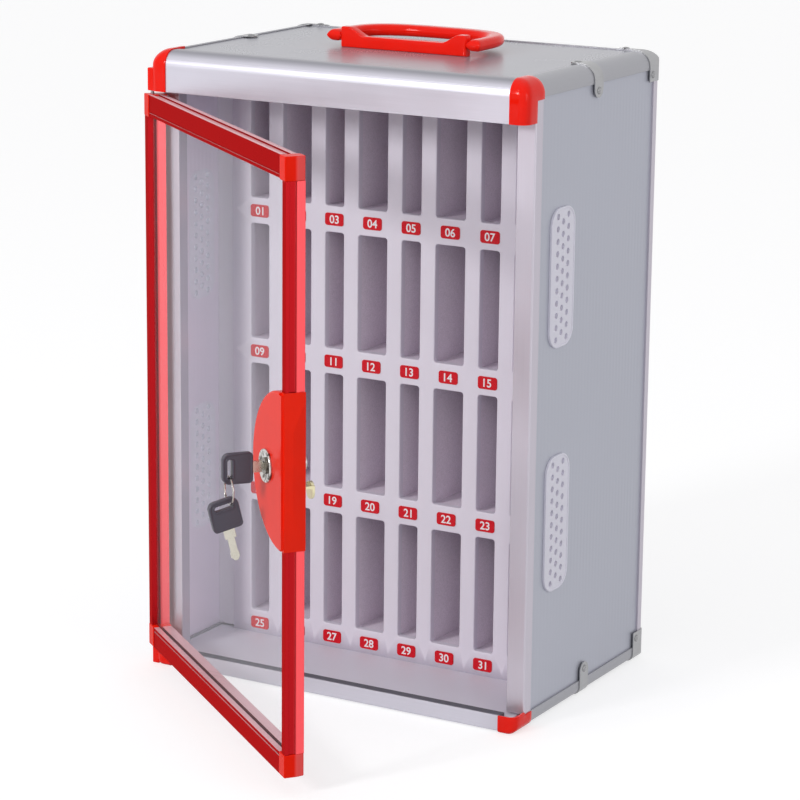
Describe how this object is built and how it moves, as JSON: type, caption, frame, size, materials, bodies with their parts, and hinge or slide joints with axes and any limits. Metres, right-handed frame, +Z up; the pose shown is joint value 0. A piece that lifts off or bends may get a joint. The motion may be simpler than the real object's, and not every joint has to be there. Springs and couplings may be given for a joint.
{
  "type": "cell phone locker box",
  "caption": "Upright aluminium-edged case with numbered phone slots in rows behind a framed clear door with a cam lock, side vents and a folding top handle.",
  "frame": {"origin": "middle of the case's underside, on the plane the box stands on", "axes": "+Z up; the front with the door faces -Y; +X to the right seen from the front; the door is hinged at -X"},
  "size_m": [0.3134, 0.4134, 0.4752],
  "materials": {
    "edge_aluminium": "satin anodised extrusion",
    "panel_grey": "satin grey panel",
    "ribbed_grey": "fine ribbed grey panel",
    "board_white": "moulded board",
    "vent_white": "moulded grille",
    "cap_red": "moulded, semi-gloss",
    "door_red": "red anodised extrusion",
    "label_red": "printed label",
    "pane_clear": "clear pane",
    "steel": "nickel-plated",
    "chrome": "polished",
    "seal_dark": "matt",
    "bow_charcoal": "moulded"
  },
  "bodies": {
    "case": {"rail_top_front": "edge_aluminium", "rail_bottom_front": "edge_aluminium", "door_seal": "seal_dark", "edge_top_right": "edge_aluminium", "edge_top_left": "edge_aluminium", "edge_bottom_right": "edge_aluminium", "edge_bottom_left": "edge_aluminium", "edge_top_back": "edge_aluminium", "edge_bottom_back": "edge_aluminium", "upright_front_right": "edge_aluminium", "upright_front_left": "edge_aluminium", "upright_back_right": "edge_aluminium", "upright_back_left": "edge_aluminium", "panel_top": "panel_grey", "panel_bottom": "panel_grey", "panel_back": "panel_grey", "panel_right": "ribbed_grey", "panel_left": "ribbed_grey", "floor_lining": "board_white", "corner_cap_top": "cap_red", "corner_cap_bottom": "cap_red", "hinge_cap_top": "cap_red", "hinge_cap_bottom": "cap_red", "steel_corners": "steel", "edge_straps": "steel", "rivets": "steel", "vents_right": "vent_white", "vents_left": "vent_white", "dividers": "board_white", "shelves": "board_white", "side_fillers": "board_white", "number_labels": "label_red", "handle_base": "cap_red", "handle_pivots": "steel", "handle_screws": "steel", "hinge_pins": "steel", "strike_plate": "steel", "slot_panel_1": "board_white", "slot_panel_2": "board_white", "slot_panel_3": "board_white", "slot_panel_4": "board_white"},
    "door": {"door_rail_top": "door_red", "door_rail_bottom": "door_red", "door_stile_hinge": "door_red", "door_stile_lock": "door_red", "door_corners": "cap_red", "door_pane": "pane_clear", "lock_housing": "cap_red", "lock_backplate": "steel", "lock_barrel": "chrome", "lock_nut": "steel"},
    "bail": {"handle_bail": "cap_red"},
    "plug": {"lock_plug": "chrome", "lock_cam": "steel", "cam_screw": "steel"},
    "key": {"key_bow": "bow_charcoal", "key_blade": "steel"},
    "ring": {"key_ring": "steel"},
    "spare_key": {"spare_bow": "bow_charcoal", "spare_blade": "steel"}
  },
  "joints": [
    {"name": "door_swing", "type": "hinge", "parent": "case", "child": "door", "pos_m": [-0.1535, -0.0996, 0.0128], "axis": [0, 0, -1], "range_deg": [-38.5, 116.5]},
    {"name": "bail_fold", "type": "hinge", "parent": "case", "child": "bail", "pos_m": [0, -0.003, 0.4684], "axis": [1, 0, 0], "range_deg": [0, 100]},
    {"name": "lock_turn", "type": "hinge", "parent": "door", "child": "plug", "pos_m": [0.05308, -0.27619, 0.2213], "axis": [-0.6225, -0.7826, 0], "range_deg": [0, 90]},
    {"name": "key_slide", "type": "slide", "parent": "plug", "child": "key", "axis": [-0.6225, -0.7826, 0], "range_m": [0, 0.022]},
    {"name": "ring_swing", "type": "hinge", "parent": "key", "child": "ring", "pos_m": [0.03826, -0.29481, 0.2163], "axis": [0.7826, -0.6225, 0], "range_deg": [-40, 10]},
    {"name": "spare_swing", "type": "hinge", "parent": "ring", "child": "spare_key", "pos_m": [0.03826, -0.29481, 0.1977], "axis": [0.7826, -0.6225, 0], "range_deg": [-20, 12]}
  ]
}
